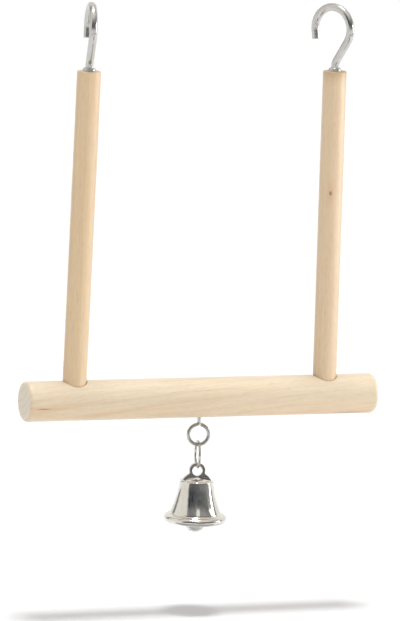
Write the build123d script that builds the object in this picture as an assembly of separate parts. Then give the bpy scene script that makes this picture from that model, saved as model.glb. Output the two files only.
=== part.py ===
from build123d import *
import math
import os

# Bird swing: a thick dowel perch carried by two thinner dowels with a screw hook in each top,
# and a small cast bell that hangs from a screw eye under the middle of the perch.
# Lengths are in millimetres and angles in degrees.
# X runs along the perch, -Y is its front and Z is up.
# The origin is the middle of the hang line, which joins the inner tops of the two hook loops.

# Fits
drive_clearance = 0.02
glue_clearance = 0.05
ring_play = 0.15
overrun = 2.0

# Perch
perch_length = 148.8
perch_diameter = 16.0
perch_end_round = 1.4
perch_overhang = 20.9

# Uprights
upright_diameter = 9.5
upright_length = 133.6
upright_lean = 0.63
upright_top_round = 0.5
upright_foot_chamfer = 0.8
socket_depth = 11.0

# Screw hooks
hook_wire = 3.2
hook_loop_radius = 8.7
hook_loop_height = 16.6
hook_loop_offset = 1.7
hook_neck_length = 1.7
hook_neck_bend = 4.5
hook_tip_wrap = 8.0
hook_tip_length = 3.5
hook_tip_round = 0.35
hook_shank_length = 13.0
hook_point_length = 4.5
hook_point_width = 0.6
left_hook_turn = -103.0
right_hook_turn = -59.5

# Hook collars
collar_flange = 1.0
collar_rim = 0.4
collar_height = 1.4

# Screw eye
eye_wire = 1.45
eye_ring_radius = 4.08
eye_bend = 1.2
eye_neck_length = 2.2
eye_end_gap = 0.08
eye_shank_length = 6.5
eye_point_length = 2.5
eye_point_width = 0.3

# Link ring
link_wire = 1.0
link_ring_radius = 5.3
link_joint_gap = 0.2

# Bell shell
bell_height = 17.2
brim_radius = 12.6
lip_round = 1.6
lip_width = 2.5
lip_groove = 0.9
bell_wall = 1.1
waist_hollow = 0.45
shoulder_radius = 6.75
shoulder_round = 0.9
crown_radius = 5.5
crown_height = 1.2
crown_thickness = 1.4

# Bell lug
lug_hole_radius = 2.0
lug_hole_rise = 0.4
lug_rim = 1.3
lug_thickness = 2.0
lug_shoulder_radius = 6.8
lug_shoulder_drop = 3.6
lug_throat_round = 0.6
lug_edge_round = 0.25
lug_hole_round = 0.2

# Clapper
staple_wire = 0.9
staple_bend = 1.3
staple_drop = 2.4
staple_seat = 1.6
clapper_wire_diameter = 0.8
clapper_ring_radius = 1.1
clapper_bend = 0.8
clapper_end_gap = 0.1
ball_diameter = 9.0
ball_height = 0.4
ball_seat = 3.0

# The bell chain hangs turned about the vertical from the perch
chain_turn = -12.0

# Places along an upright, from the perch's axis
perch_radius = perch_diameter / 2
upright_spacing = perch_length - 2 * perch_overhang
socket_floor = perch_radius - socket_depth
upright_top = socket_floor + upright_length
hang_height = upright_top + hook_loop_height + hook_loop_radius - hook_wire / 2

# Frames of the pieces
perch_axis_height = -hang_height * math.cos(math.radians(upright_lean))
left_frame = Location((-upright_spacing / 2, 0, perch_axis_height), (0, upright_lean, 0))
right_frame = Location((upright_spacing / 2, 0, perch_axis_height), (0, -upright_lean, 0))
chain_frame = Location((0, 0, perch_axis_height), (0, 0, chain_turn))
left_hook_frame = left_frame * Location((0, 0, upright_top), (0, 0, left_hook_turn))
right_hook_frame = right_frame * Location((0, 0, upright_top), (0, 0, right_hook_turn))

# Heights in the chain, from the perch's axis
eye_centre = -perch_radius - eye_neck_length - eye_wire / 2 - eye_ring_radius
link_pivot = eye_centre - eye_ring_radius
link_centre = link_pivot + (eye_wire + link_wire) / 2 + ring_play - link_ring_radius
bell_pivot = link_centre - link_ring_radius
lug_hole_centre = bell_pivot + link_wire / 2 + ring_play - lug_hole_radius

# Heights in the bell, from the plane of its lip
lug_height = bell_height + crown_height + lug_hole_rise + lug_hole_radius
bell_ceiling = bell_height - crown_thickness
clapper_pivot = bell_ceiling - staple_drop
clapper_ring_centre = (
    clapper_pivot + (staple_wire + clapper_wire_diameter) / 2 + ring_play - clapper_ring_radius
)
ball_seat_floor = ball_height + ball_diameter / 2 - ball_seat
bell_frame = chain_frame * Pos(0, 0, lug_hole_centre - lug_height)


def direction(angle):
    """Unit vector in the XZ plane, at an angle from +X towards +Z."""
    return Vector(math.cos(math.radians(angle)), 0, math.sin(math.radians(angle)))


def wire_along(path, diameter):
    """Round wire swept along a chain of tangent lines and arcs."""
    start = Plane(origin=path[0] @ 0, z_dir=path[0] % 0)
    return sweep(start * Circle(diameter / 2), path=Wire(path))


def screw_point(diameter, point_width, point_length):
    """Tapered point below a screw's shank, whose end is at the origin."""
    return Cone(
        point_width / 2,
        diameter / 2,
        point_length,
        align=(Align.CENTER, Align.CENTER, Align.MAX),
    )


def bore_up(diameter, depth):
    """Round cutter that rises from the origin."""
    return Cylinder(diameter / 2, depth, align=(Align.CENTER, Align.CENTER, Align.MIN))


def bowed(start, end, bow):
    """Shallow arc between two points of a plane outline, bowed to the left of its way."""
    way = (end - start).normalized()
    middle = (start + end) / 2 + Vector(-way.Y, way.X) * bow
    return ThreePointArc(start, middle, end)


def turned(outline):
    """Solid of revolution about Z from an outline of radius and height."""
    return revolve(Plane.XZ * make_face(outline), Axis.Z)


def make_perch():
    """Dowel with rounded ends, two blind sockets above and a pilot hole below."""
    dowel = Cylinder(perch_radius, perch_length, rotation=(0, 90, 0))
    dowel = fillet(dowel.edges().filter_by(GeomType.CIRCLE), perch_end_round)
    dowel = Pos(0, 0, perch_axis_height) * dowel
    socket = Pos(0, 0, socket_floor) * bore_up(
        upright_diameter + 2 * glue_clearance, socket_depth + overrun
    )
    pilot_depth = eye_shank_length + eye_point_length
    pilot = Pos(0, 0, -perch_radius - overrun) * bore_up(
        eye_wire + 2 * drive_clearance, pilot_depth + overrun
    )
    return dowel - left_frame * socket - right_frame * socket - chain_frame * pilot


def make_upright():
    """Thin dowel with a bevelled foot, an eased top edge and a pilot hole in its top."""
    dowel = bore_up(upright_diameter, upright_length)
    dowel = chamfer(dowel.edges().sort_by(Axis.Z)[0], upright_foot_chamfer)
    dowel = fillet(dowel.edges().sort_by(Axis.Z)[-1], upright_top_round)
    dowel = Pos(0, 0, socket_floor) * dowel
    pilot_depth = hook_shank_length + hook_point_length
    pilot = bore_up(hook_wire + 2 * drive_clearance, pilot_depth + overrun)
    return dowel - Pos(0, 0, upright_top - pilot_depth) * pilot


def make_hook():
    """Open screw hook on the upright's top face, with its tip towards -X."""
    shank_end = Vector(0, 0, -hook_shank_length)
    neck_start = Vector(0, 0, hook_neck_length)
    neck_centre = neck_start + Vector(hook_neck_bend, 0, 0)
    loop_centre = Vector(-hook_loop_offset, 0, hook_loop_height)

    # The straight run is the inner tangent of the neck bend and the loop
    across = loop_centre - neck_centre
    run_angle = math.degrees(
        math.atan2(across.Z, across.X)
        - math.asin((hook_neck_bend + hook_loop_radius) / across.length)
    )
    side = direction(run_angle + 90)
    neck_end = neck_centre + side * hook_neck_bend
    loop_start = loop_centre - side * hook_loop_radius

    tip_angle = 180 + hook_tip_wrap
    loop_middle = loop_centre + direction((run_angle - 90 + tip_angle) / 2) * hook_loop_radius
    loop_end = loop_centre + direction(tip_angle) * hook_loop_radius
    tip_end = loop_end + direction(tip_angle + 90) * hook_tip_length

    path = [
        Line(shank_end, neck_start),
        TangentArc(neck_start, neck_end, tangent=(0, 0, 1)),
        Line(neck_end, loop_start),
        ThreePointArc(loop_start, loop_middle, loop_end),
        Line(loop_end, tip_end),
    ]
    hook = wire_along(path, hook_wire)
    tip_edge = hook.edges().filter_by(GeomType.CIRCLE).sort_by_distance(tip_end)[0]
    hook = fillet(tip_edge, hook_tip_round)
    return hook + Pos(shank_end) * screw_point(hook_wire, hook_point_width, hook_point_length)


def make_collar():
    """Domed collar round the hook's neck, seated on the upright's top face."""
    bore = hook_wire / 2 + drive_clearance
    rim = hook_wire / 2 + collar_flange
    outline = [
        Line((bore, 0), (rim, 0)),
        Line((rim, 0), (rim, collar_rim)),
        TangentArc((rim, collar_rim), (bore, collar_height), tangent=(0, 1)),
        Line((bore, collar_height), (bore, 0)),
    ]
    return turned(outline)


def make_eyed_wire(wire, ring_radius, bend, stem_length, end_gap):
    """Wire bent into a ring round the origin, in XZ, whose end closes on the stem straight above."""
    bend_distance = ring_radius + bend
    bend_height = math.sqrt(bend_distance**2 - bend**2)
    ring_start = 90 + math.degrees(math.asin(bend / bend_distance))

    # The outer edge of the ring's end stops the end gap short of the bend
    end_edge = ring_radius + wire / 2
    reach = bend + wire / 2 + end_gap
    closing = math.degrees(
        math.acos((bend_distance**2 + end_edge**2 - reach**2) / (2 * bend_distance * end_edge))
    )
    ring_end = ring_start + 360 - closing

    stem_end = Vector(0, 0, stem_length)
    bend_start = Vector(0, 0, bend_height)
    bend_end = direction(ring_start) * ring_radius
    ring_middle = direction((ring_start + ring_end) / 2) * ring_radius
    path = [
        Line(stem_end, bend_start),
        TangentArc(bend_start, bend_end, tangent=(0, 0, -1)),
        ThreePointArc(bend_end, ring_middle, direction(ring_end) * ring_radius),
    ]
    return wire_along(path, wire)


def make_screw_eye():
    """Screw eye driven up into the perch, its ring in the chain's XZ plane."""
    stem_length = eye_shank_length - perch_radius - eye_centre
    point = Rot(180, 0, 0) * screw_point(eye_wire, eye_point_width, eye_point_length)
    eye = make_eyed_wire(eye_wire, eye_ring_radius, eye_bend, stem_length, eye_end_gap)
    return Pos(0, 0, eye_centre) * (eye + Pos(0, 0, stem_length) * point)


def make_link_ring():
    """Jump ring in the chain's YZ plane, with its butt joint at one side."""
    gap_angle = math.degrees(link_joint_gap / link_ring_radius)
    ends = [direction(angle) * link_ring_radius for angle in (gap_angle / 2, -gap_angle / 2)]
    path = [ThreePointArc(ends[0], direction(180) * link_ring_radius, ends[1])]
    ring = wire_along(path, link_wire)
    return Location((0, 0, link_centre), (0, 0, 90)) * ring


def make_lug():
    """Flat cast lug: a ring on round shoulders, with rounded edges and a round hole."""
    foot = bell_height - crown_thickness / 2
    ring = Pos(0, lug_height) * Circle(lug_hole_radius + lug_rim)
    shoulders = Pos(0, bell_height - lug_shoulder_drop) * Circle(lug_shoulder_radius)
    below = Pos(0, foot) * Rectangle(
        2 * lug_shoulder_radius, 2 * lug_shoulder_radius, align=(Align.CENTER, Align.MAX)
    )
    outline = ring + shoulders - below
    outline = fillet(outline.vertices().sort_by(Axis.Y)[-2:], lug_throat_round)
    plate = extrude(Plane.XZ * outline, lug_thickness / 2, both=True)

    rims = plate.faces().filter_by(Axis.Y).edges()
    rims = rims.filter_by(lambda edge: edge.center().Z > foot + lug_edge_round)
    plate = fillet(rims, lug_edge_round)
    plate -= Location((0, 0, lug_height), (90, 0, 0)) * Cylinder(lug_hole_radius, lug_thickness)
    walls = plate.faces().filter_by(GeomType.CYLINDER).sort_by_distance((0, 0, lug_height))
    return fillet(walls[0].edges().filter_by(GeomType.CIRCLE), lug_hole_round)


def make_bell_shell():
    """Cast bell with a rolled lip, a hollow waist, a stepped crown and its lug."""
    lip_bead = brim_radius - lip_round
    foot_radius = lip_bead - lip_groove
    foot_height = 2 * lip_round + lip_groove
    shoulder_foot = bell_height - shoulder_round

    inner_top = Vector(shoulder_radius - bell_wall, bell_ceiling)
    inner_foot = Vector(foot_radius - bell_wall, foot_height)
    inner_lip = Vector(brim_radius - lip_width, 0)
    bead_bottom = Vector(lip_bead, 0)
    bead_top = Vector(lip_bead, 2 * lip_round)
    foot = Vector(foot_radius, foot_height)
    waist_top = Vector(shoulder_radius, shoulder_foot)
    shoulder = Vector(shoulder_radius - shoulder_round, bell_height)
    crown_edge = Vector(crown_radius, bell_height)
    crown_top = Vector(0, bell_height + crown_height)
    ceiling = Vector(0, bell_ceiling)
    inner_waist = bowed(inner_top, inner_foot, -waist_hollow)

    outline = [
        Line(ceiling, inner_top),
        inner_waist,
        TangentArc(inner_foot, inner_lip, tangent=inner_waist % 1),
        Line(inner_lip, bead_bottom),
        ThreePointArc(bead_bottom, (brim_radius, lip_round), bead_top),
        TangentArc(foot, bead_top, tangent=(0, -1)),
        bowed(foot, waist_top, waist_hollow),
        TangentArc(waist_top, shoulder, tangent=(0, 1)),
        Line(shoulder, crown_edge),
        TangentArc(crown_top, crown_edge, tangent=(1, 0)),
        Line(crown_top, ceiling),
    ]
    shell = turned(outline) + make_lug()
    leg_hole = Pos(0, 0, bell_ceiling - overrun) * bore_up(
        staple_wire + 2 * drive_clearance, staple_seat + overrun
    )
    for side in (-1, 1):
        shell -= Pos(0, side * staple_bend, 0) * leg_hole
    return shell


def make_staple():
    """Wire staple set in the crown's ceiling, in the chain's YZ plane."""
    leg_end = bell_ceiling + staple_seat
    leg_foot = clapper_pivot + staple_bend
    left_foot = Vector(-staple_bend, 0, leg_foot)
    right_foot = Vector(staple_bend, 0, leg_foot)
    path = [
        Line((-staple_bend, 0, leg_end), left_foot),
        ThreePointArc(left_foot, (0, 0, clapper_pivot), right_foot),
        Line(right_foot, (staple_bend, 0, leg_end)),
    ]
    return Rot(0, 0, 90) * wire_along(path, staple_wire)


def make_clapper_wire():
    """Clapper stem that hangs by its eye from the staple, in the chain's XZ plane."""
    stem_length = clapper_ring_centre - ball_seat_floor
    stem = make_eyed_wire(
        clapper_wire_diameter, clapper_ring_radius, clapper_bend, stem_length, clapper_end_gap
    )
    return Location((0, 0, clapper_ring_centre), (180, 0, 0)) * stem


def make_clapper_ball():
    """Ball with a blind hole in its top for the stem."""
    ball = Pos(0, 0, ball_height) * Sphere(ball_diameter / 2)
    hole = bore_up(clapper_wire_diameter + 2 * drive_clearance, ball_seat + overrun)
    return ball - Pos(0, 0, ball_seat_floor) * hole


parts = {
    "perch": make_perch(),
    "left_upright": left_frame * make_upright(),
    "right_upright": right_frame * make_upright(),
    "left_hook": left_hook_frame * make_hook(),
    "right_hook": right_hook_frame * make_hook(),
    "left_hook_collar": left_hook_frame * make_collar(),
    "right_hook_collar": right_hook_frame * make_collar(),
    "screw_eye": chain_frame * make_screw_eye(),
    "link_ring": chain_frame * make_link_ring(),
    "bell_shell": bell_frame * make_bell_shell(),
    "clapper_staple": bell_frame * make_staple(),
    "clapper_wire": bell_frame * make_clapper_wire(),
    "clapper_ball": bell_frame * make_clapper_ball(),
}

os.makedirs("parts", exist_ok=True)
for node, solid in parts.items():
    export_step(solid, f"parts/{node}.step")
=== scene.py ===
import math

import bmesh
import bpy
from mathutils import Matrix, Vector, noise


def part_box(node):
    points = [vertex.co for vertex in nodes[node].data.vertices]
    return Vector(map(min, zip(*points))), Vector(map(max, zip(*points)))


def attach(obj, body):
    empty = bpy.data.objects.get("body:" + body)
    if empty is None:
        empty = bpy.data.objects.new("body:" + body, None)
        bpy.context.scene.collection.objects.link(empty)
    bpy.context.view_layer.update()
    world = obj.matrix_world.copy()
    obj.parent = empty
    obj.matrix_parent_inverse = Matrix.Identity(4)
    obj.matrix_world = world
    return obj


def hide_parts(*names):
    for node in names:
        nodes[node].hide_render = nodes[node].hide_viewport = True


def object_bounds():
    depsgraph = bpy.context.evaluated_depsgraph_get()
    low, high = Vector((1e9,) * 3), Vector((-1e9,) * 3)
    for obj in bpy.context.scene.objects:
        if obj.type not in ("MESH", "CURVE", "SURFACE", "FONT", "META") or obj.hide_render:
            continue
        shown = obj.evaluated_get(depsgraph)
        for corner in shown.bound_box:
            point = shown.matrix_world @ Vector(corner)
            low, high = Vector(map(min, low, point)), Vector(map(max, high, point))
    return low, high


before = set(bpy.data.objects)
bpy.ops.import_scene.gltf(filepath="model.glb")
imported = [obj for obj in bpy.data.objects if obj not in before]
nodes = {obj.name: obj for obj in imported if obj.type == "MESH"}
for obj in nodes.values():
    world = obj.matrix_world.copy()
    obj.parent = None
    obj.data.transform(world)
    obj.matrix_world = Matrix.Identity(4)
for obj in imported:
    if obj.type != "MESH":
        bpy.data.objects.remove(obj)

# Wooden bird swing with a bell, in metres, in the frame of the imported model.
# X runs along the perch, -Y faces the viewer and Z is up.

cad_low, cad_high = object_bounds()
MM = 0.001
UP = Vector((0.0, 0.0, 1.0))

# Camera, fitted to the edges of the dowels in a picture of 400 by 621 pixels
LONG_SIDE_PIXELS = 621
FOCAL_PIXELS = 4991
SENSOR = 36.0
CAMERA_YAW = math.radians(-21.70)
CAMERA_ELEVATION = math.radians(8.59)
CAMERA_ROLL = math.radians(2.32)
CAMERA_DISTANCE = 1.981
CAMERA_AIM = Vector((-1.5, 0, -119.3)) * MM

# Sizes of the wood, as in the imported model
PERCH_END_ROUND = 1.4 * MM
UPRIGHT_SPACING = 107.0 * MM
UPRIGHT_RADIUS = 4.75 * MM
UPRIGHT_LENGTH = 133.6 * MM
UPRIGHT_LEAN = math.radians(0.63)
UPRIGHT_TOP_ROUND = 0.5 * MM
UPRIGHT_FOOT_CHAMFER = 0.8 * MM
SOCKET_RADIUS = 4.8 * MM
SOCKET_DEPTH = 11.0 * MM
HOOK_BORE_RADIUS = 1.62 * MM
HOOK_BORE_DEPTH = 17.5 * MM
EYE_BORE_RADIUS = 0.745 * MM
EYE_BORE_DEPTH = 9.0 * MM

perch_low, perch_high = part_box("perch")
perch_centre = (perch_low + perch_high) / 2
perch_radius = (perch_high.z - perch_low.z) / 2
perch_length = perch_high.x - perch_low.x

# Ends of an upright, along it from the perch's axis
upright_foot = perch_radius - SOCKET_DEPTH
upright_top = upright_foot + UPRIGHT_LENGTH

# Relief of the sanded grain, with scales per metre
GRAIN_DEPTH = 0.04 * MM
FURROW_ACROSS = 900
FURROW_ALONG = 30
FURROW_SHARE = 0.45
SWELL_ACROSS = 160
SWELL_ALONG = 18
SWELL_SHARE = 0.35
PERCH_GRAIN_SEED = 3.0

# Saw marks on the ends of the dowels
SAW_DEPTH = 0.035 * MM
SAW_PITCH = 1.7 * MM
SAW_WAY = (0.8, 0.6)
SAW_SHAKE = 1.5
SAW_SHAKE_SCALE = 250
PERCH_SAW_SEED_SCALE = 1000

# Socket mouths, with a glue gap and an eased edge
MOUTH_BREAK = 0.35 * MM
MOUTH_GAP = 0.2 * MM
MOUTH_GAP_DEPTH = 1.2 * MM
MOUTH_LIP = 0.03 * MM

# Fineness of the wood's meshes
PERCH_SEGMENTS = 168
PERCH_WALL_RINGS = 221
PERCH_END_RINGS = 11
UPRIGHT_SEGMENTS = 112
UPRIGHT_WALL_RINGS = 181
UPRIGHT_FOOT_RINGS = 5
UPRIGHT_TOP_RINGS = 6
ROUND_RINGS = 6
SOCKET_SEGMENTS = 96
DRILL_SEGMENTS = 32
CREASE = math.radians(32)
WELD = 0.001 * MM


# Node helpers

def set_inputs(tree, node, inputs):
    """Sets inputs of a node to values, or links them to sockets."""
    for key, value in inputs.items():
        if isinstance(value, bpy.types.NodeSocket):
            tree.links.new(value, node.inputs[key])
        else:
            node.inputs[key].default_value = value


def add(tree, kind, inputs=None, **settings):
    """New node with its settings and inputs."""
    node = tree.nodes.new(kind)
    for name, value in settings.items():
        setattr(node, name, value)
    set_inputs(tree, node, inputs or {})
    return node


def calc(tree, operation, *values, clamp=False):
    """Output of a Math node."""
    node = add(tree, "ShaderNodeMath", dict(enumerate(values)), operation=operation, use_clamp=clamp)
    return node.outputs[0]


def vector_calc(tree, operation, *values):
    """Output of a Vector Math node, which is a number for a length or a dot product."""
    node = add(tree, "ShaderNodeVectorMath", dict(enumerate(values)), operation=operation)
    return node.outputs["Value" if operation in ("LENGTH", "DOT_PRODUCT") else "Vector"]


def noise_at(tree, vector, seed, detail=2.0, roughness=0.5):
    """Value of a 4D noise texture at a vector, with the seed as its fourth coordinate."""
    inputs = {"Vector": vector, "W": seed, "Scale": 1.0, "Detail": detail, "Roughness": roughness}
    return add(tree, "ShaderNodeTexNoise", inputs, noise_dimensions="4D").outputs[0]


def ramp(tree, factor, stops):
    """Grey value of a colour ramp with stops of place and grey."""
    node = add(tree, "ShaderNodeValToRGB", {0: factor})
    elements = node.color_ramp.elements
    while len(elements) < len(stops):
        elements.new(1.0)
    for element, (place, grey) in zip(elements, stops):
        element.position = place
        element.color = (grey, grey, grey, 1)
    return node.outputs[0]


def blend(tree, factor, first, second):
    """Colour mixed from two colours or sockets."""
    inputs = {}
    for key, value in ((0, factor), (6, first), (7, second)):
        inputs[key] = (*value, 1) if isinstance(value, tuple) else value
    return add(tree, "ShaderNodeMix", inputs, data_type="RGBA").outputs[2]


def tinted(colour, tint):
    """Colour times a tint."""
    return tuple(channel * part for channel, part in zip(colour, tint))


def new_material(name):
    """Material with an empty tree but for its Principled shader and output."""
    material = bpy.data.materials.new(name)
    material.use_nodes = True
    tree = material.node_tree
    tree.nodes.clear()
    shader = add(tree, "ShaderNodeBsdfPrincipled")
    add(tree, "ShaderNodeOutputMaterial", {"Surface": shader.outputs[0]})
    return material, tree, shader


# Noises of the wood: scales along and across the grain per metre, step of the seed, detail and roughness
WOOD_NOISES = {
    "wander": (14, 60, 0, 2.0, 0.5),
    "fibre": (35, 1500, 1, 4.0, 0.6),
    "pore": (160, 3400, 2, 1.0, 0.5),
    "tone": (10, 160, 3, 2.0, 0.5),
    "flush": (15, 620, 4, 3.0, 0.5),
    "speckle": (300, 2200, 5, 3.0, 0.7),
    "fleck": (330, 2300, 6, 2.0, 0.5),
}

# Tones of the wood, as ramp stops and shares
RING_DRIFT = 5 * MM
RING_STOPS = ((0.0, 0.1), (0.55, 0.25), (0.86, 1.0), (1.0, 0.1))
RING_TONE_STOPS = ((0.35, 0.05), (0.7, 0.45))
FIBRE_STOPS = ((0.35, 0.0), (0.7, 0.28))
FLECK_STOPS = ((0.45, 0.0), (0.7, 0.3))
PORE_STOPS = ((0.62, 0.0), (0.74, 1.0))
PORE_SHARE = 0.3
# Painted shade: the side towards local +X, which is the perch's underside, is made darker and more tan, and
# the flushed streaks gather there
SHADE_WIDTH = 14 * MM
SHADE_BASE = 0.15
FLUSH_STOPS = ((0.48, 0.0), (0.64, 1.0))
FLUSH_TONE_STOPS = ((0.35, 0.35), (0.55, 1.0))
FLUSH_SHADE_SIDE = 0.95
FLUSH_BASE = 0.18

# Knots and splits, each in a longer halo
HALO_WIDTH = 3
HALO_LENGTH = 6
HALO_SHARE = 0.8
HALO_TINT = (1.0, 0.93, 0.85)
SPOT_STOPS = ((0.0, 0.0), (0.6, 0.85))
SPOT_TINT = (0.6, 0.57, 0.5)

# End grain, and the stain at an upright's top
END_STOPS = ((0.72, 0.0), (0.95, 1.0))
END_RING_SHARE = 0.3
END_TINT = (0.66, 0.66, 0.66)
SPECKLE_STOPS = ((0.4, 0.0), (0.75, 0.5))
STAIN_REACH = 6.0 * MM
STAIN_MIDDLE = 0.3
STAIN_TINT = (1.05, 1.0, 0.75)

# Surface of the wood
WOOD_SPECULAR = 0.45
WOOD_COAT = 0.5
WOOD_COAT_ROUGHNESS = 0.3
WOOD_ROUGHNESS = 0.38
FIBRE_ROUGHNESS = 0.2
END_ROUGHNESS = 0.15
PORE_DEPTH = 0.6
WOOD_BUMP = {"Strength": 0.4, "Distance": 0.05 * MM}

# Surface of the nickel, with scales per metre
CLOUD_SCALE = 240
PIT_SCALE = 2600
PIT_STOPS = ((0.68, 0.0), (0.78, 1.0))
PIT_SHARE = 0.5
PIT_TINT = (0.5, 0.5, 0.5)
PIT_DEPTH = 0.5
TARNISH_STOPS = ((0.4, 0.0), (0.72, 1.0))
TARNISH_SHARE = 0.5
NICKEL_BUMP = {"Strength": 0.35, "Distance": 0.02 * MM}
FACE_WEIGHT = 100


# Materials

def wood_material(name, pith, slope, ring_gap, shade_share, pale, tan, blush, dark, end_grain, seed, marks, stain):
    """Sanded dowel wood with its grain along Z: growth rings about a pith line beside the dowel,
    fibres, pores, painted shade that makes the side towards local +X (the perch's underside) darker
    and more tan, and greyer end grain. The marks are knots, splits and dark streaks, each given as its
    centre, half width and half length. The stain is a share of the dark tone that fades down from an
    upright's top."""
    material, tree, shader = new_material(name)
    place = add(tree, "ShaderNodeTexCoord").outputs
    parts = add(tree, "ShaderNodeSeparateXYZ", {0: place["Object"]}).outputs
    depth, along = parts[1], parts[2]
    across = calc(tree, "MULTIPLY_ADD", along, slope, parts[0])

    def grain(kind):
        """One of the wood's noises, drawn out along the grain."""
        along_scale, across_scale, seed_step, detail, roughness = WOOD_NOISES[kind]
        stretched = add(tree, "ShaderNodeCombineXYZ", {
            0: calc(tree, "MULTIPLY", across, across_scale),
            1: calc(tree, "MULTIPLY", depth, across_scale),
            2: calc(tree, "MULTIPLY", along, along_scale),
        })
        return noise_at(tree, stretched.outputs[0], seed + seed_step, detail, roughness)

    def near(centre, half_width, half_length):
        """1 at a centre, falling to 0 on an ellipsoid about it."""
        stretch = (1 / half_width, 1 / half_width, 1 / half_length)
        off = vector_calc(tree, "MULTIPLY", vector_calc(tree, "SUBTRACT", place["Object"], centre), stretch)
        return calc(tree, "SUBTRACT", 1.0, vector_calc(tree, "LENGTH", off), clamp=True)

    # Growth rings, which run out slowly along the grain
    drift = calc(tree, "MULTIPLY", grain("wander"), RING_DRIFT)
    ring_across = calc(tree, "ADD", calc(tree, "SUBTRACT", across, pith[0]), drift)
    ring_depth = calc(tree, "SUBTRACT", depth, pith[1])
    depth_square = calc(tree, "MULTIPLY", ring_depth, ring_depth)
    radius = calc(tree, "SQRT", calc(tree, "MULTIPLY_ADD", ring_across, ring_across, depth_square))
    phase = calc(tree, "FRACT", calc(tree, "DIVIDE", radius, ring_gap))
    ring = ramp(tree, phase, RING_STOPS)

    # Fibres, flecks, pores and flushed streaks, with slow changes of tone, and painted shade that darkens
    # one side
    fibre = grain("fibre")
    tone = grain("tone")
    pore = ramp(tree, grain("pore"), PORE_STOPS)
    ring_share = calc(tree, "MULTIPLY", ring, ramp(tree, tone, RING_TONE_STOPS))
    share = calc(tree, "ADD", ring_share, ramp(tree, fibre, FIBRE_STOPS))
    share = calc(tree, "ADD", share, ramp(tree, grain("fleck"), FLECK_STOPS))
    # Painted shade: darker and more tan towards local +X, the perch's underside, where the flushed streaks
    # gather too
    shade_side = calc(tree, "MULTIPLY_ADD", parts[0], 1 / SHADE_WIDTH, SHADE_BASE, clamp=True)
    share = calc(tree, "MULTIPLY_ADD", shade_side, shade_share, share, clamp=True)
    colour = blend(tree, share, pale, tan)
    flush = ramp(tree, grain("flush"), FLUSH_STOPS)
    flush = calc(tree, "MULTIPLY", flush, ramp(tree, tone, FLUSH_TONE_STOPS))
    flush_side = calc(tree, "MULTIPLY_ADD", shade_side, FLUSH_SHADE_SIDE, FLUSH_BASE)
    colour = blend(tree, calc(tree, "MULTIPLY", flush, flush_side), colour, blush)
    colour = blend(tree, calc(tree, "MULTIPLY", pore, PORE_SHARE), colour, dark)

    # Knots, splits and dark streaks, each in a flushed streak along the grain
    spots = 0.0
    for centre, half_width, half_length in marks:
        halo = near(centre, HALO_WIDTH * half_width, HALO_LENGTH * half_length)
        colour = blend(tree, calc(tree, "MULTIPLY", halo, HALO_SHARE), colour, tinted(blush, HALO_TINT))
        spot = near(centre, half_width, half_length)
        colour = blend(tree, ramp(tree, spot, SPOT_STOPS), colour, tinted(dark, SPOT_TINT))
        spots = calc(tree, "MAXIMUM", spots, spot)

    # End grain, where the surface faces along the grain
    facing = add(tree, "ShaderNodeSeparateXYZ", {0: place["Normal"]}).outputs[2]
    end = ramp(tree, calc(tree, "ABSOLUTE", facing), END_STOPS)
    end_rings = calc(tree, "MULTIPLY", ring, END_RING_SHARE)
    end_share = calc(tree, "ADD", end_rings, ramp(tree, grain("speckle"), SPECKLE_STOPS))
    end_colour = blend(tree, end_share, end_grain, tinted(end_grain, END_TINT))
    colour = blend(tree, end, colour, end_colour)

    if stain:
        reach_start = 1 - upright_top / STAIN_REACH
        near_top = calc(tree, "MULTIPLY_ADD", along, 1 / STAIN_REACH, reach_start, clamp=True)
        stain_share = ramp(tree, near_top, ((0.0, 0.0), (0.5, STAIN_MIDDLE * stain), (1.0, stain)))
        colour = blend(tree, stain_share, colour, tinted(dark, STAIN_TINT))

    rough = calc(tree, "MULTIPLY_ADD", fibre, FIBRE_ROUGHNESS, WOOD_ROUGHNESS)
    hollow = calc(tree, "ADD", calc(tree, "MULTIPLY", pore, PORE_DEPTH), spots)
    height = calc(tree, "SUBTRACT", fibre, hollow)
    set_inputs(tree, shader, {
        "Base Color": colour,
        "Specular IOR Level": WOOD_SPECULAR,
        "Coat Weight": WOOD_COAT,
        "Coat Roughness": WOOD_COAT_ROUGHNESS,
        "Roughness": calc(tree, "MULTIPLY_ADD", end, END_ROUGHNESS, rough),
        "Normal": add(tree, "ShaderNodeBump", {"Height": height, **WOOD_BUMP}).outputs[0],
    })
    return material


def upright_material(name, pale, seed, marks, stain):
    """Wood of one upright."""
    return wood_material(
        name,
        pith=(9 * MM, 22 * MM),
        slope=0.012,
        ring_gap=2.6 * MM,
        shade_share=0.0,
        pale=pale,
        tan=(0.64, 0.44, 0.25),
        blush=(0.71, 0.48, 0.30),
        dark=(0.42, 0.27, 0.15),
        end_grain=(0.60, 0.48, 0.35),
        seed=seed,
        marks=marks,
        stain=stain,
    )


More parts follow.
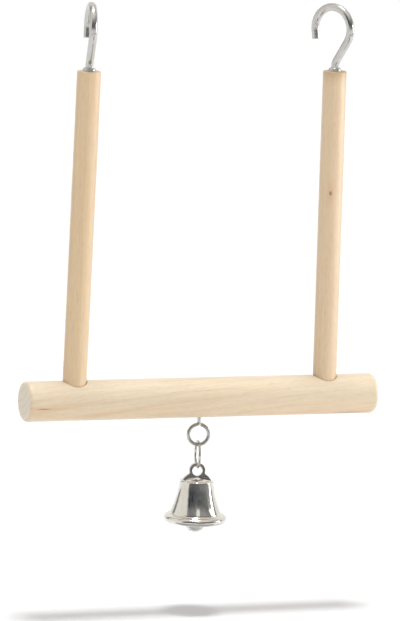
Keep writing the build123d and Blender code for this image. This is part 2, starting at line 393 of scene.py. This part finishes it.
def nickel_material(name, bright, dull, gloss, haze, skin_scale, seed):
    """Plated metal with clouded roughness, fine pits and a slightly uneven skin."""
    material, tree, shader = new_material(name)
    place = add(tree, "ShaderNodeTexCoord").outputs["Object"]

    def spread(scale):
        return vector_calc(tree, "MULTIPLY", place, (scale,) * 3)

    cloud = noise_at(tree, spread(CLOUD_SCALE), seed, detail=3.0)
    skin = noise_at(tree, spread(skin_scale), seed + 1, detail=2.0)
    pit = ramp(tree, noise_at(tree, spread(PIT_SCALE), seed + 2, detail=1.0), PIT_STOPS)
    tarnish = ramp(tree, cloud, TARNISH_STOPS)
    colour = blend(tree, calc(tree, "MULTIPLY", tarnish, TARNISH_SHARE), bright, dull)
    colour = blend(tree, calc(tree, "MULTIPLY", pit, PIT_SHARE), colour, tinted(dull, PIT_TINT))
    height = calc(tree, "SUBTRACT", skin, calc(tree, "MULTIPLY", pit, PIT_DEPTH))
    set_inputs(tree, shader, {
        "Base Color": colour,
        "Metallic": 1.0,
        "Roughness": calc(tree, "MULTIPLY_ADD", cloud, haze, gloss),
        "Normal": add(tree, "ShaderNodeBump", {"Height": height, **NICKEL_BUMP}).outputs[0],
    })
    return material


# The perch has a short split near its left end and a dark streak low on its right end
perch_wood = wood_material(
    "perch_wood",
    pith=(-25 * MM, 12 * MM),
    slope=0.10,
    ring_gap=2.8 * MM,
    # Painted shade makes the perch darker and more tan underneath
    shade_share=0.7,
    pale=(0.77, 0.66, 0.495),
    tan=(0.64, 0.48, 0.30),
    blush=(0.69, 0.46, 0.29),
    dark=(0.52, 0.36, 0.22),
    end_grain=(0.83, 0.73, 0.58),
    seed=3.0,
    marks=[
        ((1.8 * MM, -7.8 * MM, -68.4 * MM), 0.34 * MM, 3.4 * MM),
        ((7.0 * MM, -3.87 * MM, 63.4 * MM), 0.95 * MM, 9.0 * MM),
    ],
    stain=0.0,
)
left_wood = upright_material(
    "left_upright_wood",
    pale=(0.765, 0.575, 0.355),
    seed=11.0,
    marks=[],
    stain=0.0,
)

# The right upright has a pin knot and a stained top
right_wood = upright_material(
    "right_upright_wood",
    pale=(0.765, 0.595, 0.40),
    seed=17.0,
    marks=[((-1.9 * MM, -4.35 * MM, 82.0 * MM), 0.7 * MM, 1.1 * MM)],
    stain=0.6,
)
hook_nickel = nickel_material(
    "hook_nickel",
    bright=(0.575, 0.565, 0.54),
    dull=(0.43, 0.42, 0.40),
    gloss=0.15,
    haze=0.14,
    skin_scale=900,
    seed=21.0,
)
chain_nickel = nickel_material(
    "chain_nickel",
    bright=(0.54, 0.53, 0.50),
    dull=(0.40, 0.39, 0.365),
    gloss=0.10,
    haze=0.16,
    skin_scale=1400,
    seed=31.0,
)
bell_nickel = nickel_material(
    "bell_nickel",
    bright=(0.74, 0.72, 0.68),
    dull=(0.60, 0.58, 0.54),
    gloss=0.05,
    haze=0.12,
    skin_scale=500,
    seed=41.0,
)
clapper_nickel = nickel_material(
    "clapper_nickel",
    bright=(0.70, 0.69, 0.66),
    dull=(0.55, 0.54, 0.52),
    gloss=0.18,
    haze=0.16,
    skin_scale=900,
    seed=51.0,
)

finishes = {
    "left_hook": hook_nickel,
    "right_hook": hook_nickel,
    "left_hook_collar": hook_nickel,
    "right_hook_collar": hook_nickel,
    "screw_eye": chain_nickel,
    "link_ring": chain_nickel,
    "bell_shell": bell_nickel,
    "clapper_staple": clapper_nickel,
    "clapper_wire": clapper_nickel,
    "clapper_ball": clapper_nickel,
}
for node_name, finish in finishes.items():
    mesh = nodes[node_name].data
    mesh.materials.clear()
    mesh.materials.append(finish)
    flat = nodes[node_name].modifiers.new("flat_faces", "WEIGHTED_NORMAL")
    flat.weight = FACE_WEIGHT
    flat.keep_sharp = True


# Wood

def spaced(start, end, count):
    """Evenly spaced numbers from start to end, both among them."""
    return [start + (end - start) * step / (count - 1) for step in range(count)]


def quarter(centre, size, start):
    """Points of a quarter circle round a centre, after its first, from an angle on by 90 degrees."""
    angles = [start + math.radians(angle) for angle in spaced(0, 90, ROUND_RINGS)[1:]]
    return [(centre[0] + size * math.cos(angle), centre[1] + size * math.sin(angle)) for angle in angles]


def linked(name, data):
    """New object of the scene with its data."""
    item = bpy.data.objects.new(name, data)
    bpy.context.scene.collection.objects.link(item)
    return item


def mesh_object(name, points, faces):
    """New mesh object of the scene."""
    mesh = bpy.data.meshes.new(name)
    mesh.from_pydata(points, [], faces)
    return linked(name, mesh)


def turned_mesh(name, profile, segments, move=None):
    """Closed mesh turned about Z from pairs of radius and height. The first and last are on the axis,
    and move, where given, shifts a point that it gets as radius, height and angle."""
    points = []
    for radius, height in profile[1:-1]:
        for step in range(segments):
            angle = 2 * math.pi * step / segments
            new_radius, new_height = move(radius, height, angle) if move else (radius, height)
            points.append((new_radius * math.cos(angle), new_radius * math.sin(angle), new_height))
    rings = len(profile) - 2
    first, last = len(points), len(points) + 1
    points += [(0, 0, profile[0][1]), (0, 0, profile[-1][1])]
    faces = []
    for step in range(segments):
        after = (step + 1) % segments
        faces.append((first, after, step))
        for ring in range(rings - 1):
            low, high = ring * segments, (ring + 1) * segments
            faces.append((low + step, low + after, high + after, high + step))
        top = (rings - 1) * segments
        faces.append((top + step, top + after, last))
    return mesh_object(name, points, faces)


def grain_relief(angle, radius, height, seed):
    """Depth from 0 to 1 of the sanded grain's furrows on a dowel's wall."""
    x, y = radius * math.cos(angle), radius * math.sin(angle)
    furrow = noise.noise(Vector((x * FURROW_ACROSS, y * FURROW_ACROSS, height * FURROW_ALONG + seed)))
    swell = noise.noise(Vector((x * SWELL_ACROSS, y * SWELL_ACROSS, height * SWELL_ALONG - seed)))
    return min(1.0, max(0.0, 0.5 + FURROW_SHARE * furrow + SWELL_SHARE * swell))


def saw_relief(angle, radius, seed):
    """Depth from 0 to 1 of the saw's marks on a dowel's end."""
    x, y = radius * math.cos(angle), radius * math.sin(angle)
    shake = noise.noise(Vector((x * SAW_SHAKE_SCALE, y * SAW_SHAKE_SCALE, seed)))
    stroke = 2 * math.pi * (SAW_WAY[0] * x + SAW_WAY[1] * y) / SAW_PITCH
    return 0.5 + 0.5 * math.sin(stroke + SAW_SHAKE * shake)


def shaded(piece, material):
    """Smooth shading with crisp corners, and the piece's one material."""
    piece.data.shade_smooth()
    piece.data.set_sharp_from_angle(angle=CREASE)
    piece.data.materials.clear()
    piece.data.materials.append(material)


def carved(piece, cutters):
    """Takes the cutters out of a piece and welds what the cuts leave double."""
    for cutter in cutters:
        cut = piece.modifiers.new(cutter.name, "BOOLEAN")
        cut.operation = "DIFFERENCE"
        cut.solver = "EXACT"
        cut.object = cutter
    bpy.context.view_layer.update()
    done = bpy.data.meshes.new_from_object(piece.evaluated_get(bpy.context.evaluated_depsgraph_get()))
    shell = bmesh.new()
    shell.from_mesh(done)
    bmesh.ops.remove_doubles(shell, verts=shell.verts, dist=WELD)
    bmesh.ops.dissolve_degenerate(shell, edges=shell.edges, dist=WELD)
    shell.to_mesh(done)
    shell.free()
    piece.modifiers.clear()
    piece.data = done
    for cutter in cutters:
        bpy.data.objects.remove(cutter)


def upright_frame(side):
    """Frame of the upright on a side, with its origin on the perch's axis."""
    foot = Vector((side * UPRIGHT_SPACING / 2, 0, perch_centre.z))
    return Matrix.Translation(foot) @ Matrix.Rotation(-side * UPRIGHT_LEAN, 4, "Y")


def socket_cutter(name, side):
    """Cutter of a socket whose mouth has a narrow glue gap and an eased edge along the saddle."""
    gap = SOCKET_RADIUS + MOUTH_GAP
    outer = gap + MOUTH_BREAK
    top = perch_radius + SOCKET_DEPTH

    def saddle(radius, angle):
        return math.sqrt(perch_radius ** 2 - (radius * math.sin(angle)) ** 2)

    def move(radius, height, angle):
        if height in (upright_foot, top):
            return radius, height
        if radius == outer:
            return radius, saddle(outer, angle) + MOUTH_LIP
        if radius == gap:
            return radius, saddle(gap, angle) - MOUTH_BREAK / 2
        return radius, saddle(SOCKET_RADIUS, angle) - MOUTH_GAP_DEPTH

    floor = [(0, upright_foot), (SOCKET_RADIUS, upright_foot)]
    mouth = [(SOCKET_RADIUS, 0), (gap, 0), (outer, 0)]
    cutter = turned_mesh(name, floor + mouth + [(outer, top), (0, top)], SOCKET_SEGMENTS, move)
    cutter.matrix_world = upright_frame(side)
    return cutter


def make_perch():
    """Turned dowel with rounded saw-cut ends, two blind sockets and the screw eye's pilot hole."""
    half = perch_length / 2
    rim = perch_radius - PERCH_END_ROUND
    wall_end = half - PERCH_END_ROUND
    left_end = [(radius, -half) for radius in spaced(0, rim, PERCH_END_RINGS)]
    left_round = quarter((rim, -wall_end), PERCH_END_ROUND, math.radians(-90))
    wall = [(perch_radius, height) for height in spaced(-wall_end, wall_end, PERCH_WALL_RINGS)]
    right_round = quarter((rim, wall_end), PERCH_END_ROUND, 0.0)
    right_end = [(radius, half) for radius in spaced(rim, 0, PERCH_END_RINGS)]

    def move(radius, height, angle):
        if radius <= rim:
            inward = SAW_DEPTH * saw_relief(angle, radius, height * PERCH_SAW_SEED_SCALE)
            return radius, height - math.copysign(inward, height)
        return radius - GRAIN_DEPTH * grain_relief(angle, radius, height, PERCH_GRAIN_SEED), height

    profile = left_end + left_round + wall[1:] + right_round + right_end[1:]
    piece = turned_mesh("perch_dowel", profile, PERCH_SEGMENTS, move)
    piece.matrix_world = Matrix.Translation(perch_centre) @ Matrix.Rotation(math.radians(90), 4, "Y")

    pilot_top = EYE_BORE_DEPTH - perch_radius
    pilot_foot = -perch_radius - EYE_BORE_DEPTH
    pilot = [(0, pilot_foot), (EYE_BORE_RADIUS, pilot_foot), (EYE_BORE_RADIUS, pilot_top), (0, pilot_top)]
    drill = turned_mesh("drill", pilot, DRILL_SEGMENTS)
    drill.matrix_world = Matrix.Translation(perch_centre)
    carved(piece, [socket_cutter("left_socket", -1), socket_cutter("right_socket", 1), drill])
    shaded(piece, perch_wood)
    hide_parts("perch")
    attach(piece, "frame")


def make_upright(name, node, side, seed, wood):
    """Thin dowel with a bevelled foot, an eased top edge and the hook's pilot hole."""
    rim = UPRIGHT_RADIUS - UPRIGHT_TOP_ROUND
    foot_rim = UPRIGHT_RADIUS - UPRIGHT_FOOT_CHAMFER
    wall_foot = upright_foot + UPRIGHT_FOOT_CHAMFER
    wall_top = upright_top - UPRIGHT_TOP_ROUND
    bore_floor = upright_top - HOOK_BORE_DEPTH
    foot_end = [(radius, upright_foot) for radius in spaced(0, foot_rim, UPRIGHT_FOOT_RINGS)]
    wall = [(UPRIGHT_RADIUS, height) for height in spaced(wall_foot, wall_top, UPRIGHT_WALL_RINGS)]
    top_round = quarter((rim, wall_top), UPRIGHT_TOP_ROUND, 0.0)
    top_end = [(radius, upright_top) for radius in spaced(rim, HOOK_BORE_RADIUS, UPRIGHT_TOP_RINGS)]
    bore = [(HOOK_BORE_RADIUS, bore_floor), (0, bore_floor)]

    def move(radius, height, angle):
        if radius <= HOOK_BORE_RADIUS:
            return radius, height
        if height == upright_top:
            return radius, height - SAW_DEPTH * saw_relief(angle, radius, seed)
        if radius > foot_rim:
            return radius - GRAIN_DEPTH * grain_relief(angle, radius, height, seed), height
        return radius, height

    profile = foot_end + wall + top_round + top_end[1:] + bore
    piece = turned_mesh(name, profile, UPRIGHT_SEGMENTS, move)
    piece.matrix_world = upright_frame(side)
    shaded(piece, wood)
    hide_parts(node)
    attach(piece, "frame")


make_perch()
make_upright("left_dowel", "left_upright", -1, 0.0, left_wood)
make_upright("right_dowel", "right_upright", 1, 2.2, right_wood)


# Studio

# Floor below the hanging bell
FLOOR_DROP = 32.2 * MM
FLOOR_SIZE = 40.0
FLOOR_COLOUR = (0.93, 0.93, 0.93, 1)
FLOOR_GLOW = 0.035

# Lamps, with places to the right, to the front and up from the object's middle
FILL_LEVEL = 0.40
SUN_LEVEL = 2.05
SUN_SPREAD = math.radians(14)
SUN_PLACE = (0.0, 0.0, 1.0)
KEY_POWER = 4.4
KEY_SIZE = 0.4
KEY_PLACE = (1.0, -0.02, 0.12)
FRONT_POWER = 3.6
FRONT_SIZE = 0.8
FRONT_PLACE = (0.0, 1.5, 0.4)

# Sheets that only the metal shows: grey, first and last azimuth in degrees from the front to the right,
# and the reach and rise above the floor of their two long edges
SHEET_LIFT = 0.5 * MM
SHEET_STEPS = 24
SHEETS = {
    "flag": (0.11, -51, 75, ((0.60, 0.0), (0.60, 50 * MM))),
    "mat": (0.10, 4, 36, ((0.22, SHEET_LIFT), (0.42, SHEET_LIFT))),
    "apron": (0.50, -75, 75, ((0.015, SHEET_LIFT), (0.11, SHEET_LIFT))),
    "lamp_cover": (0.28, 70, 94, ((0.50, 40 * MM), (0.50, 230 * MM))),
}

# Surroundings that only the metal shows, with stops over the turn, which has the left at 0.25, the front
# at 0.5 and the right at 0.75, or over the height, or over the nearness to the dark room's middle
SIDE_STOPS = (
    (0.130, 1.0), (0.139, 0.3), (0.176, 0.3), (0.185, 0.95), (0.700, 0.95), (0.712, 1.0),
    (0.792, 1.0), (0.800, 0.2), (0.820, 0.2), (0.828, 1.0),
)
ROOM_STOPS = ((0.45, 0.03), (0.485, 0.04), (0.505, 0.09), (0.535, 0.07), (0.65, 0.14))
ROOM_HEIGHT_STOPS = ((0.02, 0.13), (0.22, 0.0), (0.40, 0.0), (0.50, 0.20))
ROOM_EDGE_STOPS = ((0.16, 1.0), (0.24, 0.0))
ROOM_TOP_STOPS = ((0.62, 0.0), (0.76, 1.0))
ROOM_YAW = math.radians(28)
ROOM_DROP = 0.17
BLOTCH_SCALE = (9.0, 9.0, 14.0)
BLOTCH_SEED = 61.0
BLOTCH_STOPS = ((0.42, 0.0), (0.7, 0.13))
WINDOW_STOPS = ((0.508, 0.0), (0.518, 1.0), (0.560, 1.0), (0.575, 0.0))
WINDOW_HEIGHT_STOPS = ((0.455, 0.0), (0.49, 1.0))
DARK_TINT = (0.0, 0.008, 0.02)
LIGHT_TINT = (1.0, 0.985, 0.94)
WHITE = (1.0, 1.0, 1.0)

camera_back = Vector((
    math.sin(CAMERA_YAW) * math.cos(CAMERA_ELEVATION),
    -math.cos(CAMERA_YAW) * math.cos(CAMERA_ELEVATION),
    math.sin(CAMERA_ELEVATION),
))
camera_right = Vector((math.cos(CAMERA_YAW), math.sin(CAMERA_YAW), 0.0))
camera_up = camera_back.cross(camera_right)
front = Vector((math.sin(CAMERA_YAW), -math.cos(CAMERA_YAW), 0.0))
middle = (cad_low + cad_high) / 2
floor_height = cad_low.z - FLOOR_DROP


def level_way(angle):
    """Level direction at an angle from the front to the right."""
    return front * math.cos(angle) + camera_right * math.sin(angle)


def stage_piece(name, points, faces):
    """Object of the studio, with an empty material tree of its own."""
    piece = mesh_object(name, points, faces)
    material = bpy.data.materials.new(name)
    material.use_nodes = True
    material.node_tree.nodes.clear()
    piece.data.materials.append(material)
    return piece, material.node_tree


def seen_rays(tree):
    """1 for the rays that show the background: the camera's, and those of metal and glass."""
    path = add(tree, "ShaderNodeLightPath").outputs
    seen = calc(tree, "MAXIMUM", path["Is Camera Ray"], path["Is Glossy Ray"])
    return calc(tree, "MAXIMUM", seen, path["Is Transmission Ray"])


def make_floor():
    """Pale floor that the camera and the metal see as white where no shadow falls."""
    half = FLOOR_SIZE / 2
    corners = [(x * half, y * half, floor_height) for x, y in ((-1, -1), (1, -1), (1, 1), (-1, 1))]
    tree = stage_piece("floor", corners, [(0, 1, 2, 3)])[1]
    diffuse = add(tree, "ShaderNodeBsdfDiffuse", {"Color": FLOOR_COLOUR})
    glow = add(tree, "ShaderNodeEmission", {"Strength": calc(tree, "MULTIPLY", seen_rays(tree), FLOOR_GLOW)})
    total = add(tree, "ShaderNodeAddShader", {0: diffuse.outputs[0], 1: glow.outputs[0]})
    add(tree, "ShaderNodeOutputMaterial", {"Surface": total.outputs[0]})


def make_sheet(name, grey, start, end, edges):
    """Curved grey sheet about the object, between two azimuths and two edges of reach and rise above
    the floor, which only the metal shows."""
    points = []
    for angle in spaced(start, end, SHEET_STEPS):
        way = level_way(math.radians(angle))
        points += [(way.x * reach, way.y * reach, floor_height + rise) for reach, rise in edges]
    faces = [(first, first + 2, first + 3, first + 1) for first in range(0, len(points) - 2, 2)]
    sheet, tree = stage_piece(name, points, faces)
    glow = add(tree, "ShaderNodeEmission", {"Color": (grey, grey, grey, 1), "Strength": 1.0})
    add(tree, "ShaderNodeOutputMaterial", {"Surface": glow.outputs[0]})
    sheet.visible_camera = False
    sheet.visible_diffuse = False
    sheet.visible_shadow = False
    sheet.visible_transmission = False


def make_world():
    """Even white surroundings. Only the metal shows a dark, blotched room in front with a window, and
    dark gaps at the sides."""
    world = bpy.data.worlds.new("studio")
    world.use_nodes = True
    tree = world.node_tree
    tree.nodes.clear()
    way = add(tree, "ShaderNodeTexCoord").outputs["Generated"]
    height = vector_calc(tree, "DOT_PRODUCT", way, UP)
    to_right = vector_calc(tree, "DOT_PRODUCT", way, camera_right)
    to_front = vector_calc(tree, "DOT_PRODUCT", way, front)
    turn = calc(tree, "MULTIPLY_ADD", calc(tree, "ARCTAN2", to_right, to_front), 0.5 / math.pi, 0.5)

    blotch = noise_at(tree, vector_calc(tree, "MULTIPLY", way, BLOTCH_SCALE), BLOTCH_SEED)
    room = calc(tree, "ADD", ramp(tree, turn, ROOM_STOPS), ramp(tree, blotch, BLOTCH_STOPS))
    room = calc(tree, "ADD", room, ramp(tree, height, ROOM_HEIGHT_STOPS))
    window = calc(tree, "MULTIPLY", ramp(tree, turn, WINDOW_STOPS), ramp(tree, height, WINDOW_HEIGHT_STOPS))
    room = calc(tree, "MAXIMUM", room, window)

    room_way = (level_way(ROOM_YAW) - UP * ROOM_DROP).normalized()
    outside = ramp(tree, vector_calc(tree, "DOT_PRODUCT", way, room_way), ROOM_EDGE_STOPS)
    outside = calc(tree, "MAXIMUM", outside, ramp(tree, height, ROOM_TOP_STOPS))
    shade = blend(tree, outside, room, ramp(tree, turn, SIDE_STOPS))
    tint = blend(tree, shade, DARK_TINT, LIGHT_TINT)
    camera_ray = add(tree, "ShaderNodeLightPath").outputs["Is Camera Ray"]
    seen = blend(tree, camera_ray, tint, WHITE)
    colour = blend(tree, seen_rays(tree), (FILL_LEVEL,) * 3, seen)
    background = add(tree, "ShaderNodeBackground", {"Color": colour, "Strength": 1.0})
    add(tree, "ShaderNodeOutputWorld", {"Surface": background.outputs[0]})
    bpy.context.scene.world = world


def make_lamp(name, kind, place, energy, size):
    """Sun or square area lamp at a place about the object's middle, turned to that middle."""
    data = bpy.data.lights.new(name, kind)
    data.energy = energy
    if kind == "SUN":
        data.angle = size
    else:
        data.shape = "SQUARE"
        data.size = size
    lamp = linked(name, data)
    lamp.location = middle + camera_right * place[0] + front * place[1] + UP * place[2]
    lamp.rotation_mode = "QUATERNION"
    lamp.rotation_quaternion = (middle - lamp.location).to_track_quat("-Z", "Y")
    return lamp


def make_camera():
    """Camera at the photograph's viewing angle."""
    right = camera_right * math.cos(CAMERA_ROLL) + camera_up * math.sin(CAMERA_ROLL)
    up = camera_up * math.cos(CAMERA_ROLL) - camera_right * math.sin(CAMERA_ROLL)
    data = bpy.data.cameras.new("camera")
    data.sensor_width = SENSOR
    data.lens = FOCAL_PIXELS / LONG_SIDE_PIXELS * SENSOR
    data.clip_end = FLOOR_SIZE
    camera = linked("camera", data)
    turn = Matrix((right, up, camera_back)).transposed().to_4x4()
    camera.matrix_world = Matrix.Translation(CAMERA_AIM + camera_back * CAMERA_DISTANCE) @ turn
    bpy.context.scene.camera = camera


make_floor()
for sheet_name, sheet in SHEETS.items():
    make_sheet(sheet_name, *sheet)
make_world()
make_camera()
make_lamp("overhead", "SUN", SUN_PLACE, SUN_LEVEL, SUN_SPREAD)
make_lamp("key", "AREA", KEY_PLACE, KEY_POWER, KEY_SIZE)
fill = make_lamp("fill", "AREA", FRONT_PLACE, FRONT_POWER, FRONT_SIZE)
fill.visible_glossy = False

bpy.context.scene.view_settings.view_transform = "Standard"
